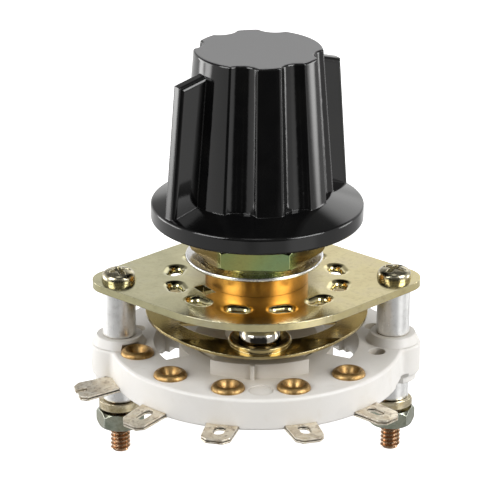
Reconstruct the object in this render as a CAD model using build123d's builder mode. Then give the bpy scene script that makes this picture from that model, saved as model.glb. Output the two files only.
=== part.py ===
from build123d import *
import os
from math import asin, cos, degrees, hypot, radians, sin, sqrt, tan

os.makedirs("parts", exist_ok=True)

# Rotary selector switch with a ceramic contact wafer, in millimetres.
# The origin is on the shaft's axis at the panel seat, which is the top of the bushing's shoulder.
# +Z runs up the shaft to the knob, and +X goes through the right screw.
# A bearing is counted from the front (-Y) towards the right (+X), so it grows anticlockwise from above.

# Driving dimensions
screw_spacing = 40.0
positions = 12
step = 360.0 / positions
plate_t = 1.1
shoulder_h = 3.3
spacer_length = 7.45
wafer_t = 4.8
shaft_r = 3.0
ball_r = 3.0
rivet_ring_r = 18.0
detent_ring_r = 12.2
knob_foot = 6.2
knob_h = 25.4

# Clearances
running_gap = 0.05
thread_gap = 0.02
turning_gap = 0.25
screw_gap = 0.15

# Where the contacts stand: the common one at the left, then the four throws
contact_bearings = [-2.5 * step, -1.5 * step, -0.5 * step, 0.5 * step, 1.5 * step]
common_bearing = contact_bearings[0]

# The stack of levels, from the panel seat down
ear_x = screw_spacing / 2
plate_top = -shoulder_h
plate_under = plate_top - plate_t
boss_h = 1.25
ear_foot_h = 1.0
wafer_boss_top = plate_under - spacer_length
wafer_top = wafer_boss_top - boss_h
wafer_under = wafer_top - wafer_t
wafer_foot = wafer_under - ear_foot_h

# The turning stack under the plate
foot_h = 0.7
foot_under = plate_under - foot_h
flange_t = 0.8
flange_top = foot_under - turning_gap
stop_t = 0.8
stop_top = flange_top - flange_t
stop_under = stop_top - stop_t
collar_t = 0.85
spring_t = 0.4
spring_top = stop_under - collar_t
spring_under = spring_top - spring_t

# The flattened tang of the shaft, which drives the stop plate, spring and rotor
tang_r = 2.4
tang_flat = 1.6


def bearing_plane(bearing, height):
    """A level plane at this height whose own x axis points out along the bearing."""
    turn = radians(bearing)
    return Plane(origin=(0, 0, height), x_dir=(sin(turn), -cos(turn), 0), z_dir=(0, 0, 1))


def wedge_plane(bearing, height):
    """A level plane at this height whose own -y axis points out along the bearing."""
    return bearing_plane(bearing + 90, height)


def drooped(plane, reach, droop):
    """The plane tipped down by the droop about a line across it, out along its x axis by the reach."""
    return Plane(plane.location * Location((reach, 0, 0), (0, droop, 0)))


def wedge(half_angle, reach):
    """Corners of a sector with its tip on the axis, opening to the front and wider than its arc."""
    side = reach * tan(radians(half_angle))
    return [(0, 0), (-side, -reach), (side, -reach)]


# Mounting plate: two small end circles and a large middle one under one hull, with the detent's ring of slots
plate_r = 17.5
plate_end_r = 3.85
screw_hole_r = 1.6
spigot_r = 5.6
slot_length = 4.9
slot_width = 3.5
slot_round = 0.95
trough_r = 1.3
trough_depth = 0.3
trough_length = 3.4
tab_bearing = -2 * step
tab_inner_r = 7.2
tab_t = 0.8
tab_width = 2.6
tab_window_length = 1.75
tab_window_width = 3.4
tab_end = stop_under - running_gap

with BuildPart() as plate:
    with BuildSketch(Plane.XY.offset(plate_under)):
        Circle(plate_r)
        with Locations((-ear_x, 0), (ear_x, 0)):
            Circle(plate_end_r)
        make_hull()
        Circle(spigot_r, mode=Mode.SUBTRACT)
        with Locations((-ear_x, 0), (ear_x, 0)):
            Circle(screw_hole_r, mode=Mode.SUBTRACT)
    extrude(amount=plate_t)
    with BuildSketch(Plane.XY.offset(plate_under)):
        with PolarLocations(detent_ring_r, positions, start_angle=step / 2):
            SlotOverall(slot_length - 2 * slot_round, slot_width - 2 * slot_round, rotation=90)
    extrude(amount=plate_t, mode=Mode.SUBTRACT)
    slot_edges = plate.edges().filter_by(
        lambda edge: abs(edge.center().Z - plate_top) < thread_gap
        and abs(hypot(edge.center().X, edge.center().Y) - detent_ring_r) < slot_length / 2
    )
    fillet(slot_edges, radius=slot_round)
    with PolarLocations(detent_ring_r, positions):
        with Locations((0, 0, plate_under - trough_r + trough_depth)):
            Cylinder(trough_r, trough_length, rotation=(0, 90, 0), mode=Mode.SUBTRACT)
    with BuildSketch(bearing_plane(tab_bearing, plate_under)):
        with Locations((tab_inner_r + tab_t + tab_window_length / 2, 0)):
            Rectangle(tab_window_length, tab_window_width)
    extrude(amount=plate_t, mode=Mode.SUBTRACT)
    with BuildSketch(bearing_plane(tab_bearing, tab_end)):
        with Locations((tab_inner_r + tab_t / 2, 0)):
            Rectangle(tab_t, tab_width)
    extrude(amount=plate_under - tab_end)
plate.part.label = "mounting_plate"
export_step(plate.part, "parts/mounting_plate.step")

# Bushing: threaded neck, shoulder on the plate, spigot through it and a riveted foot below
shoulder_r = 7.45
neck_r = 5.0
neck_top = 7.4
foot_r = 6.3
neck_chamfer = 0.5
shoulder_round = 0.25
bushing_bore_r = shaft_r + running_gap

with BuildPart() as bushing:
    with BuildSketch(Plane.XZ):
        with BuildLine():
            Polyline(
                (bushing_bore_r, foot_under),
                (foot_r, foot_under),
                (foot_r, plate_under),
                (spigot_r, plate_under),
                (spigot_r, plate_top),
                (shoulder_r, plate_top),
                (shoulder_r, 0),
                (neck_r, 0),
                (neck_r, neck_top),
                (bushing_bore_r, neck_top),
                close=True,
            )
        make_face()
    revolve(axis=Axis.Z)
    neck_rim = bushing.edges().filter_by(GeomType.CIRCLE).filter_by_position(Axis.Z, neck_top, neck_top)
    chamfer(neck_rim.sort_by(SortBy.RADIUS)[-1], length=neck_chamfer)
    shoulder_rim = bushing.edges().filter_by(GeomType.CIRCLE).filter_by_position(Axis.Z, 0, 0)
    fillet(shoulder_rim.sort_by(SortBy.RADIUS)[-1], radius=shoulder_round)
bushing.part.label = "bushing"
export_step(bushing.part, "parts/bushing.step")

# Flat panel washer, lying a little off centre as loose as its hole lets it
washer_r = 9.97
washer_t = 0.55
washer_slack = 0.35
washer_edge = 0.12

with BuildPart() as panel_washer:
    with BuildSketch(Plane.XY):
        with Locations((-washer_slack, 0)):
            Circle(washer_r)
            Circle(neck_r + washer_slack + running_gap, mode=Mode.SUBTRACT)
    extrude(amount=washer_t)
    washer_rims = panel_washer.edges().filter_by(GeomType.CIRCLE).sort_by(SortBy.RADIUS)[-2:]
    chamfer(washer_rims, length=washer_edge)
panel_washer.part.label = "panel_washer"
export_step(panel_washer.part, "parts/panel_washer.step")

# Panel nut: a hexagon standing on a turned collar, chamfered above
nut_flats = 17.0
nut_collar_r = 7.9
nut_collar_h = 0.6
nut_hex_h = 3.2
nut_corner_bearing = 26.0
nut_corner_r = nut_flats / 2 / cos(radians(30))
nut_hex_under = washer_t + nut_collar_h
nut_top = nut_hex_under + nut_hex_h
nut_chamfer_h = (nut_corner_r - nut_flats / 2) * tan(radians(30))

with BuildPart() as panel_nut:
    with BuildSketch(Plane.XY.offset(nut_hex_under)):
        RegularPolygon(nut_corner_r, 6, rotation=nut_corner_bearing - 90)
    extrude(amount=nut_hex_h)
    with BuildSketch(Plane.XZ):
        with BuildLine():
            Polyline(
                (0, nut_hex_under),
                (nut_corner_r - nut_chamfer_h / 2, nut_hex_under),
                (nut_corner_r, nut_hex_under + nut_chamfer_h / 2),
                (nut_corner_r, nut_top - nut_chamfer_h),
                (nut_flats / 2, nut_top),
                (0, nut_top),
                close=True,
            )
        make_face()
    revolve(axis=Axis.Z, mode=Mode.INTERSECT)
    with BuildSketch(Plane.XY.offset(washer_t)):
        Circle(nut_collar_r)
    extrude(amount=nut_collar_h)
    with BuildSketch(Plane.XY.offset(washer_t)):
        Circle(neck_r + thread_gap)
    extrude(amount=nut_collar_h + nut_hex_h, mode=Mode.SUBTRACT)
panel_nut.part.label = "panel_nut"
export_step(panel_nut.part, "parts/panel_nut.step")

# Ceramic wafer: a thick ring with two ears, raised blocks front and back, and seats for the contacts below
wafer_r = 21.45
ear_r = 4.1
ear_boss_r = 3.55
ear_cone_base_r = 3.95
ear_cone_top_r = 3.3
ear_blend = 1.2
wafer_round = 0.45
bore_r = 9.4
block_half_angle = 30.0
block_r = 14.1
block_top = -10.9
mould_rib_width = 0.6
mould_rib_x = -1.1
mould_rib_out = 0.45
opening_inner_r = 11.3
opening_outer_r = 15.0
opening_half_angle = 28.0
rivet_hole_r = 1.2
eyelet_head_r = 2.43
eyelet_head_h = 0.75
dimple_r = 1.8
dimple_depth = 0.2
recess_r = 14.3
recess_depth = 0.9
seat_width = 4.8
seat_lap = 0.5
seat_depth = 0.7
seat_outer_r = 23.4
seat_ceiling = wafer_under + seat_depth

with BuildPart() as raised_block:
    with BuildSketch(Plane.XY.offset(wafer_top - wafer_round)):
        Circle(block_r)
        Circle(bore_r, mode=Mode.SUBTRACT)
        Polygon(*wedge(block_half_angle, 2 * block_r), align=None, mode=Mode.INTERSECT)
        with Locations((mould_rib_x, -block_r)):
            Rectangle(mould_rib_width, 2 * mould_rib_out)
    extrude(amount=block_top - wafer_top + wafer_round)

with BuildPart() as wafer:
    with BuildSketch(Plane.XY.offset(wafer_under)) as wafer_outline:
        Circle(wafer_r)
        with Locations((-ear_x, 0), (ear_x, 0)):
            Circle(ear_r)
        fillet(wafer_outline.vertices(), radius=ear_blend)
    extrude(amount=wafer_t)
    fillet(wafer.edges().filter_by(Plane.XY), radius=wafer_round)
    with BuildSketch(Plane.XY.offset(wafer_foot)):
        with Locations((-ear_x, 0), (ear_x, 0)):
            Circle(ear_boss_r)
    extrude(amount=ear_foot_h + wafer_t / 2)
    with Locations((-ear_x, 0, wafer_top), (ear_x, 0, wafer_top)):
        Cone(ear_cone_base_r, ear_cone_top_r, boss_h, align=(Align.CENTER, Align.CENTER, Align.MIN))
    with PolarLocations(0, 2):
        add(raised_block.part)
    with BuildSketch(Plane.XY.offset(wafer_under)):
        Circle(bore_r)
    extrude(amount=block_top - wafer_under, mode=Mode.SUBTRACT)
    with BuildSketch(Plane.XY.offset(wafer_under)):
        Circle(opening_outer_r)
        Circle(opening_inner_r, mode=Mode.SUBTRACT)
        with PolarLocations(0, 2):
            Polygon(*wedge(90 - opening_half_angle, 2 * wafer_r), align=None, mode=Mode.SUBTRACT)
    extrude(amount=wafer_t, mode=Mode.SUBTRACT)
    with BuildSketch(Plane.XY.offset(wafer_under)):
        Circle(recess_r)
    extrude(amount=recess_depth, mode=Mode.SUBTRACT)
    with BuildSketch(Plane.XY.offset(wafer_foot)):
        with PolarLocations((recess_r + seat_outer_r) / 2, positions, start_angle=step / 2):
            Rectangle(seat_outer_r - recess_r + 2 * seat_lap, seat_width)
    extrude(amount=seat_ceiling - wafer_foot, mode=Mode.SUBTRACT)
    with BuildSketch(Plane.XY.offset(wafer_under)):
        with PolarLocations(rivet_ring_r, positions, start_angle=step / 2):
            Circle(rivet_hole_r)
    extrude(amount=wafer_t, mode=Mode.SUBTRACT)
    with BuildSketch(bearing_plane(common_bearing, wafer_top)):
        with Locations((rivet_ring_r, 0)):
            Circle(eyelet_head_r + running_gap)
    extrude(amount=eyelet_head_h + running_gap, mode=Mode.SUBTRACT)
    with BuildSketch(Plane.XY.offset(wafer_top - dimple_depth)):
        with Locations((0, -rivet_ring_r), (0, rivet_ring_r)):
            Circle(dimple_r)
    extrude(amount=dimple_depth, mode=Mode.SUBTRACT)
    with BuildSketch(Plane.XY.offset(wafer_foot)):
        with Locations((-ear_x, 0), (ear_x, 0)):
            Circle(screw_hole_r)
    extrude(amount=wafer_boss_top - wafer_foot, mode=Mode.SUBTRACT)
wafer.part.label = "ceramic_wafer"
export_step(wafer.part, "parts/ceramic_wafer.step")

# The two through screws with their tubes, sleeves, lock washers and nuts
thread_r = 1.42
shank_r = 1.3
screw_chamfer = 0.3
head_r = 2.48
head_h = 1.45
head_round = 0.85
cross_length = 2.7
cross_width = 0.62
cross_depth = 0.8
cross_turn = {"left": 20.0, "right": 55.0}
spacer_r = 2.43
spacer_edge = 0.15
sleeve_r = 2.5
sleeve_length = 3.05
lock_r = 3.1
lock_t = 1.2
lock_rise = 0.65
lock_turns = 0.95
stand_flats = 6.2
stand_nut_h = 2.5
stand_corner_r = stand_flats / 2 / cos(radians(30))
stand_chamfer_angle = 48.0
stand_chamfer_h = (stand_corner_r - stand_flats / 2) * tan(radians(stand_chamfer_angle))
stand_corner_bearing = {"left": 21.0, "right": -24.0}
screw_end = -30.4
sleeve_end = wafer_foot - sleeve_length
lock_end = sleeve_end - lock_t - lock_rise
stand_nut_under = lock_end - stand_nut_h

for side, screw_x in (("left", -ear_x), ("right", ear_x)):
    with BuildPart() as screw:
        with BuildSketch(Plane.XY.offset(plate_top)):
            with Locations((screw_x, 0)):
                Circle(head_r)
        extrude(amount=head_h)
        fillet(screw.edges().group_by(Axis.Z)[-1], radius=head_round)
        with BuildSketch(Plane.XY.offset(plate_top + head_h - cross_depth)):
            with Locations(Location((screw_x, 0), cross_turn[side])):
                Rectangle(cross_length, cross_width)
                Rectangle(cross_width, cross_length)
        extrude(amount=cross_depth, mode=Mode.SUBTRACT)
        with BuildSketch(Plane.XY.offset(stand_nut_under)):
            with Locations((screw_x, 0)):
                Circle(shank_r)
        extrude(amount=plate_top - stand_nut_under)
        with BuildSketch(Plane.XY.offset(screw_end)):
            with Locations((screw_x, 0)):
                Circle(thread_r)
        extrude(amount=stand_nut_under - screw_end)
        chamfer(screw.edges().group_by(Axis.Z)[0], length=screw_chamfer)
    screw.part.label = f"{side}_screw"
    export_step(screw.part, f"parts/{side}_screw.step")

    with BuildPart() as spacer:
        with BuildSketch(Plane.XY.offset(wafer_boss_top)):
            with Locations((screw_x, 0)):
                Circle(spacer_r)
                Circle(thread_r + screw_gap, mode=Mode.SUBTRACT)
        extrude(amount=spacer_length)
        rims = spacer.edges().filter_by(GeomType.CIRCLE).sort_by(SortBy.RADIUS)[-2:]
        chamfer(rims, length=spacer_edge)
    spacer.part.label = f"{side}_upper_spacer"
    export_step(spacer.part, f"parts/{side}_upper_spacer.step")

    with BuildPart() as sleeve:
        with BuildSketch(Plane.XY.offset(sleeve_end)):
            with Locations((screw_x, 0)):
                Circle(sleeve_r)
                Circle(thread_r + screw_gap, mode=Mode.SUBTRACT)
        extrude(amount=sleeve_length)
    sleeve.part.label = f"{side}_lower_sleeve"
    export_step(sleeve.part, f"parts/{side}_lower_sleeve.step")

    lock_width = lock_r - thread_r - screw_gap
    lock_start = Vector(screw_x, 0, lock_end + lock_t / 2)
    with BuildPart() as lock_washer:
        with BuildLine() as coil:
            Helix(
                pitch=lock_rise / lock_turns,
                height=lock_rise,
                radius=lock_r - lock_width / 2,
                center=lock_start,
            )
        with BuildSketch(Plane(origin=coil.line @ 0, x_dir=(1, 0, 0), z_dir=coil.line % 0)):
            Rectangle(lock_width, lock_t)
        sweep(is_frenet=True)
    lock_washer.part.label = f"{side}_lock_washer"
    export_step(lock_washer.part, f"parts/{side}_lock_washer.step")

    with BuildPart() as stand_nut:
        with BuildSketch(Plane.XY.offset(stand_nut_under)):
            with Locations((screw_x, 0)):
                RegularPolygon(stand_corner_r, 6, rotation=stand_corner_bearing[side] - 90)
                Circle(shank_r + thread_gap, mode=Mode.SUBTRACT)
        extrude(amount=stand_nut_h)
        with BuildSketch(Plane.XZ):
            with BuildLine():
                Polyline(
                    (screw_x, stand_nut_under),
                    (screw_x + stand_flats / 2, stand_nut_under),
                    (screw_x + stand_corner_r, stand_nut_under + stand_chamfer_h),
                    (screw_x + stand_corner_r, lock_end - stand_chamfer_h),
                    (screw_x + stand_flats / 2, lock_end),
                    (screw_x, lock_end),
                    close=True,
                )
            make_face()
        revolve(axis=Axis((screw_x, 0, 0), (0, 0, 1)), mode=Mode.INTERSECT)
    stand_nut.part.label = f"{side}_stand_nut"
    export_step(stand_nut.part, f"parts/{side}_stand_nut.step")

# Contacts: two leaves each, clamped at the rivet, open inside as jaws and closed outside as a solder lug
leaf_t = 0.25
jaw_gap = 0.4
lug_gap = 0.2
leaf_half_width = 1.6
lug_half_width = 2.3
lug_root_r = 20.0
lug_flare = 0.7
lug_clip = 0.9
bend_r = wafer_r + turning_gap
bend_lap = 0.05
eye_width = 1.65
eye_length = 2.8
eye_inset = 0.15
eye_ring_r = bend_r + eye_inset + eye_length / 2
eye_margin = 1.75
throw_inner_r = 12.3
throw_tip_r = eye_ring_r + eye_length / 2 + eye_margin
throw_tip_half_width = 2.1
common_inner_r = 9.6
common_extra = 0.75
common_tip_r = throw_tip_r + common_extra
common_tip_half_width = 2.65
fork_width = 1.3
fork_depth = 1.6
pad_r = 1.9
upper_leaf_under = seat_ceiling - leaf_t
jaw_under = upper_leaf_under - jaw_gap - leaf_t
lug_under = upper_leaf_under - lug_gap - leaf_t
eyelet_bore_r = 0.8
eyelet_crown_r = 1.6
eyelet_funnel_swell = 0.12
eyelet_foot_r = 2.0
eyelet_foot_h = 0.4
eyelet_shank_r = rivet_hole_r - thread_gap
eyelet_end = jaw_under - eyelet_foot_h
contact_droops = [8.0, 9.0, 0.0, 0.0, 2.0]

for number, (bearing, droop) in enumerate(zip(contact_bearings, contact_droops), start=1):
    is_common = number == 1
    inner_r = common_inner_r if is_common else throw_inner_r
    lug_length = (common_tip_r if is_common else throw_tip_r) - bend_r
    tip_half_width = common_tip_half_width if is_common else throw_tip_half_width
    jaw_outline = [
        (inner_r, -leaf_half_width),
        (rivet_ring_r, -leaf_half_width),
        (rivet_ring_r, leaf_half_width),
        (inner_r, leaf_half_width),
    ]
    root_outline = [
        (rivet_ring_r, -leaf_half_width),
        (lug_root_r, -leaf_half_width),
        (lug_root_r + lug_flare, -lug_half_width),
        (bend_r + bend_lap, -lug_half_width),
        (bend_r + bend_lap, lug_half_width),
        (lug_root_r + lug_flare, lug_half_width),
        (lug_root_r, leaf_half_width),
        (rivet_ring_r, leaf_half_width),
    ]
    lug_outline = [
        (0, -lug_half_width),
        (lug_length - lug_clip, -tip_half_width),
        (lug_length, lug_clip - tip_half_width),
        (lug_length, tip_half_width - lug_clip),
        (lug_length - lug_clip, tip_half_width),
        (0, lug_half_width),
    ]
    with BuildSketch() as eye:
        if is_common:
            with Locations((lug_length, 0)):
                SlotOverall(2 * fork_depth, fork_width)
        else:
            with Locations((eye_ring_r - bend_r, 0)):
                SlotOverall(eye_length, eye_width)
    lug_plane = drooped(bearing_plane(bearing, upper_leaf_under), bend_r, droop)

    with BuildPart() as upper_leaf:
        with BuildSketch(bearing_plane(bearing, upper_leaf_under)):
            Polygon(*jaw_outline, align=None)
            Polygon(*root_outline, align=None)
            with Locations((rivet_ring_r, 0)):
                Circle(rivet_hole_r, mode=Mode.SUBTRACT)
        extrude(amount=leaf_t)
        with BuildSketch(lug_plane):
            Polygon(*lug_outline, align=None)
        extrude(amount=leaf_t)
        with BuildSketch(lug_plane):
            add(eye.sketch)
        extrude(amount=leaf_t, mode=Mode.SUBTRACT)
    upper_leaf.part.label = f"contact_{number}_upper_leaf"
    export_step(upper_leaf.part, f"parts/contact_{number}_upper_leaf.step")

    with BuildPart() as lower_leaf:
        with BuildSketch(bearing_plane(bearing, jaw_under)):
            Polygon(*jaw_outline, align=None)
        extrude(amount=leaf_t)
        with BuildSketch(bearing_plane(bearing, lug_under)):
            Polygon(*root_outline, align=None)
        extrude(amount=leaf_t)
        with BuildSketch(bearing_plane(bearing, jaw_under)):
            with Locations((rivet_ring_r, 0)):
                Circle(pad_r)
        extrude(amount=upper_leaf_under - jaw_under)
        with BuildSketch(bearing_plane(bearing, jaw_under)):
            with Locations((rivet_ring_r, 0)):
                Circle(rivet_hole_r)
        extrude(amount=upper_leaf_under - jaw_under, mode=Mode.SUBTRACT)
        with BuildSketch(lug_plane.offset(-lug_gap - leaf_t)):
            Polygon(*lug_outline, align=None)
        extrude(amount=leaf_t)
        with BuildSketch(lug_plane.offset(-lug_gap - leaf_t)):
            add(eye.sketch)
        extrude(amount=leaf_t, mode=Mode.SUBTRACT)
    lower_leaf.part.label = f"contact_{number}_lower_leaf"
    export_step(lower_leaf.part, f"parts/contact_{number}_lower_leaf.step")

    turn = radians(bearing)
    rivet_axis = Axis((rivet_ring_r * sin(turn), -rivet_ring_r * cos(turn), 0), (0, 0, 1))
    crown_top = wafer_top + eyelet_head_h
    funnel_end = wafer_top - eyelet_head_h
    with BuildPart() as eyelet:
        with BuildSketch(Plane(origin=rivet_axis.position, x_dir=(1, 0, 0), z_dir=(0, -1, 0))):
            with BuildLine():
                Polyline(
                    (eyelet_bore_r, funnel_end),
                    (eyelet_bore_r, eyelet_end),
                    (eyelet_foot_r, eyelet_end),
                    (eyelet_foot_r, jaw_under),
                    (eyelet_shank_r, jaw_under),
                    (eyelet_shank_r, wafer_top),
                    (eyelet_head_r, wafer_top),
                )
                ThreePointArc(
                    (eyelet_head_r, wafer_top),
                    (
                        eyelet_crown_r + (eyelet_head_r - eyelet_crown_r) * cos(radians(45)),
                        wafer_top + eyelet_head_h * sin(radians(45)),
                    ),
                    (eyelet_crown_r, crown_top),
                )
                ThreePointArc(
                    (eyelet_crown_r, crown_top),
                    (
                        (eyelet_crown_r + eyelet_bore_r) / 2 - eyelet_funnel_swell,
                        (crown_top + funnel_end) / 2 + eyelet_funnel_swell,
                    ),
                    (eyelet_bore_r, funnel_end),
                )
            make_face()
        revolve(axis=rivet_axis)
    eyelet.part.label = f"contact_{number}_eyelet"
    export_step(eyelet.part, f"parts/contact_{number}_eyelet.step")

# Shaft: round above, a flange under the bushing's foot, a flattened tang below
shaft_top = 22.5
flange_r = 4.4
tang_end = -19.0
ring_under = neck_top + turning_gap
ring_t = 0.7
ring_r = 4.8
ring_mouth = 2.2
groove_r = 2.55
shaft_chamfer = 0.5

with BuildPart() as shaft:
    with BuildSketch(Plane.XY.offset(flange_top)):
        Circle(shaft_r)
    extrude(amount=shaft_top - flange_top)
    chamfer(shaft.edges().group_by(Axis.Z)[-1], length=shaft_chamfer)
    with BuildSketch(Plane.XY.offset(ring_under)):
        Circle(shaft_r)
        Circle(groove_r, mode=Mode.SUBTRACT)
    extrude(amount=ring_t, mode=Mode.SUBTRACT)
    with BuildSketch(Plane.XY.offset(stop_top)):
        Circle(flange_r)
    extrude(amount=flange_t)
    with BuildSketch(Plane.XY.offset(tang_end)):
        Circle(tang_r)
        Rectangle(2 * tang_flat, 2 * tang_r, mode=Mode.INTERSECT)
    extrude(amount=stop_top - tang_end)
shaft.part.label = "shaft"
export_step(shaft.part, "parts/shaft.step")

with BuildPart() as retaining_ring:
    with BuildSketch(Plane.XY.offset(ring_under)):
        Circle(ring_r)
        Circle(groove_r, mode=Mode.SUBTRACT)
        Rectangle(ring_mouth, 2 * ring_r, align=(Align.CENTER, Align.MIN), mode=Mode.SUBTRACT)
    extrude(amount=ring_t)
retaining_ring.part.label = "retaining_ring"
export_step(retaining_ring.part, "parts/retaining_ring.step")

# Stop plate: a disc whose notch leaves the plate's tab the travel between the first and last position
travel_back = step
travel_on = 2 * step
stop_r = 8.9
notch_inner_r = 6.6
tab_half_angle = degrees(asin(tab_width / 2 / tab_inner_r))
stop_margin = 1.5
notch_start = tab_bearing - travel_on - tab_half_angle - stop_margin
notch_end = tab_bearing + travel_back + tab_half_angle + stop_margin
notch_middle = (notch_start + notch_end) / 2
notch_half_angle = (notch_end - notch_start) / 2

with BuildPart() as stop_plate:
    with BuildSketch(wedge_plane(notch_middle, stop_under)):
        Circle(stop_r)
        Polygon(*wedge(notch_half_angle, 2 * stop_r), align=None, mode=Mode.SUBTRACT)
        Circle(notch_inner_r)
    extrude(amount=stop_t)
    with BuildSketch(Plane.XY.offset(stop_under)):
        Circle(tang_r + thread_gap)
        Rectangle(2 * (tang_flat + thread_gap), 2 * (tang_r + thread_gap), mode=Mode.INTERSECT)
    extrude(amount=stop_t, mode=Mode.SUBTRACT)
stop_plate.part.label = "stop_plate"
export_step(stop_plate.part, "parts/stop_plate.step")

with BuildPart() as spring_collar:
    with BuildSketch(Plane.XY.offset(spring_top)):
        Circle(flange_r)
        Circle(tang_r + thread_gap, mode=Mode.SUBTRACT)
    extrude(amount=collar_t)
spring_collar.part.label = "spring_collar"
export_step(spring_collar.part, "parts/spring_collar.step")

# Detent spring: an oval ring of sheet bent down at its front and back ends, with a dished cup for a ball at each
spring_r = 16.2
window_r = 13.0
window_y = 6.2
cup_r = 4.5
cup_margin = 0.6
spring_reach = detent_ring_r + cup_r + cup_margin
fold_y = 12.0
arm_end_y = spring_reach + cup_margin
arm_drop = 0.6
cup_wall = 0.35
cup_edge = 0.15
cup_top = -7.45
ball_play = 0.15
ball_z = plate_under - ball_play - ball_r
seat_r = 2.6
seat_ring = 0.3
seat_top = ball_z - sqrt(ball_r**2 - seat_r**2)
cup_under = seat_top - cup_wall
cup_hole_r = cup_r - cup_wall / 2
rim_inner_r = cup_r - cup_wall
dish_foot_r = seat_r + seat_ring
dish_slope = (cup_top - seat_top) / (rim_inner_r - dish_foot_r)
dish_drop = cup_wall * sqrt(1 + dish_slope**2)
dish_back_r = rim_inner_r - (cup_top - dish_drop - cup_under) / dish_slope
arm_under = spring_under - arm_drop

with BuildPart() as cup:
    with BuildSketch(Plane.XZ):
        Polygon(
            (seat_r, seat_top),
            (dish_foot_r, seat_top),
            (rim_inner_r, cup_top),
            (cup_r - cup_edge, cup_top),
            (cup_r, cup_top - cup_edge),
            (cup_r, arm_under),
            (rim_inner_r, arm_under),
            (rim_inner_r, cup_top - dish_drop),
            (dish_back_r, cup_under),
            (seat_r, cup_under),
            align=None,
        )
    revolve(axis=Axis.Z)

with BuildPart() as detent_spring:
    with BuildSketch(Plane.XY.offset(arm_under)):
        Ellipse(spring_r, spring_reach)
        Circle(window_r, mode=Mode.SUBTRACT)
        Rectangle(window_r + spring_r, 2 * window_y)
        with Locations((0, -detent_ring_r), (0, detent_ring_r)):
            Circle(cup_r)
            Circle(cup_hole_r, mode=Mode.SUBTRACT)
    extrude(amount=spring_top - arm_under)
    with BuildSketch(Plane.YZ.offset(-spring_r)):
        Polygon(
            (-arm_end_y, spring_top - arm_drop),
            (-fold_y, spring_top),
            (fold_y, spring_top),
            (arm_end_y, spring_top - arm_drop),
            (arm_end_y, arm_under),
            (fold_y, spring_under),
            (-fold_y, spring_under),
            (-arm_end_y, arm_under),
            align=None,
        )
    extrude(amount=2 * spring_r, mode=Mode.INTERSECT)
    with Locations((0, -detent_ring_r, 0), (0, detent_ring_r, 0)):
        add(cup.part)
    with BuildSketch(Plane.XY.offset(spring_under)):
        Circle(tang_r + thread_gap)
        Rectangle(2 * (tang_flat + thread_gap), 2 * (tang_r + thread_gap), mode=Mode.INTERSECT)
    extrude(amount=spring_t, mode=Mode.SUBTRACT)
detent_spring.part.label = "detent_spring"
export_step(detent_spring.part, "parts/detent_spring.step")

for end, ball_y in (("front", -detent_ring_r), ("back", detent_ring_r)):
    with BuildPart() as ball:
        with Locations((0, ball_y, ball_z)):
            Sphere(ball_r)
    ball.part.label = f"{end}_ball"
    export_step(ball.part, f"parts/{end}_ball.step")

# Rotor: an insulating disc in the wafer's bore, carrying the blade that runs between the leaves
rotor_r = 9.0
rotor_top = -12.2
rotor_boss_r = 4.5
blade_t = 0.25
blade_top = upper_leaf_under - (jaw_gap - blade_t) / 2
blade_under = blade_top - blade_t
blade_r = 11.4
blade_tongue_r = 14.0
blade_tongue_width = 3.0
blade_bearing = -0.5 * step
clip_r = 4.0
clip_t = 0.6

with BuildPart() as rotor_disc:
    with BuildSketch(Plane.XY.offset(blade_top)):
        Circle(rotor_r)
    extrude(amount=rotor_top - blade_top)
    with BuildSketch(Plane.XY.offset(rotor_top)):
        Circle(rotor_boss_r)
    extrude(amount=spring_under - rotor_top)
    with BuildSketch(Plane.XY.offset(blade_top)):
        Circle(tang_r + thread_gap)
        Rectangle(2 * (tang_flat + thread_gap), 2 * (tang_r + thread_gap), mode=Mode.INTERSECT)
    extrude(amount=spring_under - blade_top, mode=Mode.SUBTRACT)
rotor_disc.part.label = "rotor_disc"
export_step(rotor_disc.part, "parts/rotor_disc.step")

with BuildPart() as contact_blade:
    with BuildSketch(bearing_plane(blade_bearing, blade_under)):
        Circle(blade_r)
        Rectangle(blade_tongue_r, blade_tongue_width, align=(Align.MIN, Align.CENTER))
    extrude(amount=blade_t)
    with BuildSketch(Plane.XY.offset(blade_under)):
        Circle(tang_r + thread_gap)
        Rectangle(2 * (tang_flat + thread_gap), 2 * (tang_r + thread_gap), mode=Mode.INTERSECT)
    extrude(amount=blade_t, mode=Mode.SUBTRACT)
contact_blade.part.label = "contact_blade"
export_step(contact_blade.part, "parts/contact_blade.step")

with BuildPart() as tail_clip:
    with BuildSketch(Plane.XY.offset(blade_under - clip_t)):
        Circle(clip_r)
        Circle(tang_r + thread_gap, mode=Mode.SUBTRACT)
    extrude(amount=clip_t)
tail_clip.part.label = "tail_clip"
export_step(tail_clip.part, "parts/tail_clip.step")

# Knob: a tapered body on a conical skirt, with two fins across it and three flutes on each side of them
knob_top = knob_foot + knob_h
skirt_r = 15.35
rim_h = 2.4
skirt_cone_top = 10.25
body_base_r = 11.1
body_top_r = 9.2
flute_r = 2.6
flute_depth = 1.05
flute_ring_r = body_top_r - flute_depth + flute_r
flute_step = 45.0
flutes_a_side = 3
flute_reach = (flutes_a_side - 1) * flute_step
fin_lead = flute_step / 2
flute_round = 0.42
fin_angle = 30.0
fin_width = 2.4
fin_inner_r = 6.5
fin_foot_r = 15.0
fin_head_r = 13.45
fin_head_z = 28.2
fin_root_z = 29.4
fin_round = 0.75
body_sink = 1.0
skirt_lap = 0.5
rim_round = 0.35
knob_round = 0.35
body_start = knob_foot + rim_h
knob_recess_r = 7.5
knob_recess_top = 11.2
insert_r = 4.6
insert_top = 23.0
grub_r = 1.5
grub_z = 15.5
grub_angle = 120.0
grub_outer_r = 8.6
grub_clearance_r = 1.75
grub_slot_depth = 1.0
grub_slot_width = 0.5

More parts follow.
